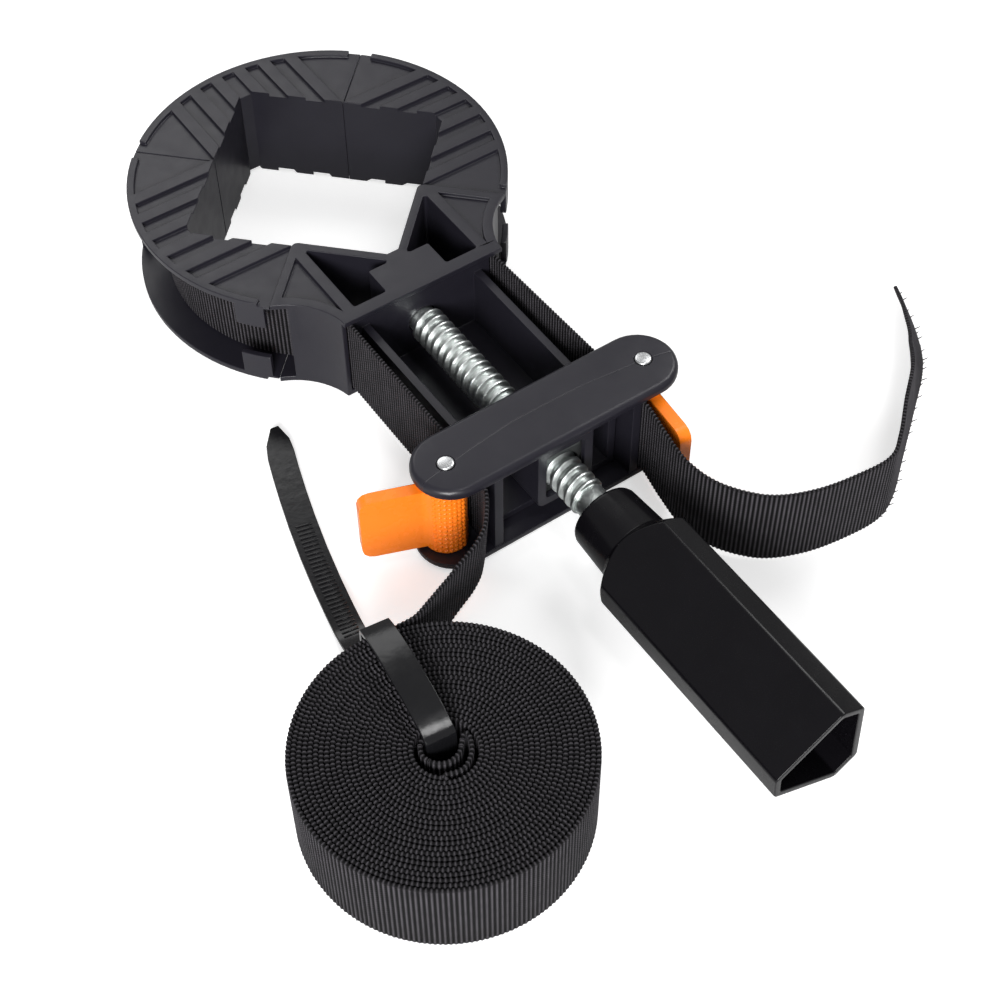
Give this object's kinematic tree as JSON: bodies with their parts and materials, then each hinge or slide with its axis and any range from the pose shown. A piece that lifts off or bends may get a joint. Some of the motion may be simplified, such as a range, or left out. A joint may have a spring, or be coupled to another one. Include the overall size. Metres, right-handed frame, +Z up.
{
  "type": "band clamp",
  "caption": "Strap clamp with corner blocks forming a ring, rails, a screw-driven carriage with cam levers, a six-sided handle and spare webbing in a tied roll.",
  "frame": {"origin": "on the floor, under the middle of the head block's rear wall, on its flat underside", "axes": "+Z up off the floor the clamp lies on, +Y along the screw from the handle towards the ring of jaws, +X across the clamp"},
  "size_m": [0.2217, 0.2597, 0.0306],
  "materials": {
    "black_plastic": "satin moulded charcoal-black plastic",
    "grip_plastic": "smooth moulded black plastic",
    "orange_plastic": "semi-gloss moulded orange plastic",
    "zinc_plate": "bright zinc-plated steel",
    "black_webbing": "woven ribbed webbing",
    "black_nylon": "glossy nylon"
  },
  "bodies": {
    "frame": {"head_frame": "black_plastic", "strap_head_left": "black_webbing", "strap_head_right": "black_webbing", "strap_run_left": "black_webbing", "strap_run_right": "black_webbing", "strap_lead": "black_webbing", "strap_roll": "black_webbing", "cable_tie": "black_nylon"},
    "carriage": {"carriage": "black_plastic", "spindle_nut": "zinc_plate", "lever_pin_left": "zinc_plate", "lever_pin_right": "zinc_plate", "strap_grip_left": "black_webbing", "strap_grip_right": "black_webbing", "strap_tail": "black_webbing"},
    "spindle": {"spindle_screw": "zinc_plate", "handle": "grip_plastic"},
    "lever_left": {"lever_left": "orange_plastic"},
    "lever_right": {"lever_right": "orange_plastic"},
    "jaw_left": {"jaw_left": "black_plastic", "strap_jaw_left": "black_webbing"},
    "jaw_far": {"jaw_far": "black_plastic", "strap_jaw_far": "black_webbing"},
    "jaw_right": {"jaw_right": "black_plastic"},
    "strap_right": {"strap_jaw_right": "black_webbing"}
  },
  "joints": [
    {"name": "spindle_turn", "type": "hinge", "parent": "frame", "child": "spindle", "pos_m": [0, 0, 0.0146], "axis": [0, 1, 0], "range_deg": [-5240, 1050]},
    {"name": "carriage_slide", "type": "slide", "parent": "frame", "child": "carriage", "axis": [0, 1, 0], "range_m": [-0.008, 0.04], "deforming": ["strap_run_left", "strap_run_right", "strap_lead"]},
    {"name": "lever_left_turn", "type": "hinge", "parent": "carriage", "child": "lever_left", "pos_m": [-0.02875, -0.056, 0.0151], "axis": [0, 0, 1], "range_deg": [-12, 70]},
    {"name": "lever_right_turn", "type": "hinge", "parent": "carriage", "child": "lever_right", "pos_m": [0.02875, -0.056, 0.0151], "axis": [0, 0, 1], "range_deg": [0, 115]},
    {"name": "jaw_left_slide", "type": "slide", "parent": "frame", "child": "jaw_left", "axis": [-0.7071, 0.7071, 0], "range_m": [0, 0.75]},
    {"name": "jaw_far_slide", "type": "slide", "parent": "jaw_left", "child": "jaw_far", "axis": [0.7071, 0.7071, 0], "range_m": [0, 0.75]},
    {"name": "jaw_right_slide", "type": "slide", "parent": "jaw_far", "child": "jaw_right", "axis": [0.7071, -0.7071, 0], "range_m": [0, 0.7501]},
    {"name": "strap_right_slide", "type": "slide", "parent": "frame", "child": "strap_right", "axis": [0.7071, 0.7071, 0], "range_m": [0, 0.7501]}
  ],
  "couplings": [
    {"joint": "spindle_turn", "follows": "carriage_slide", "rad_per_m": -2284.8},
    {"joint": "jaw_right_slide", "follows": "jaw_left_slide", "ratio": 1},
    {"joint": "strap_right_slide", "follows": "jaw_far_slide", "ratio": 1}
  ]
}
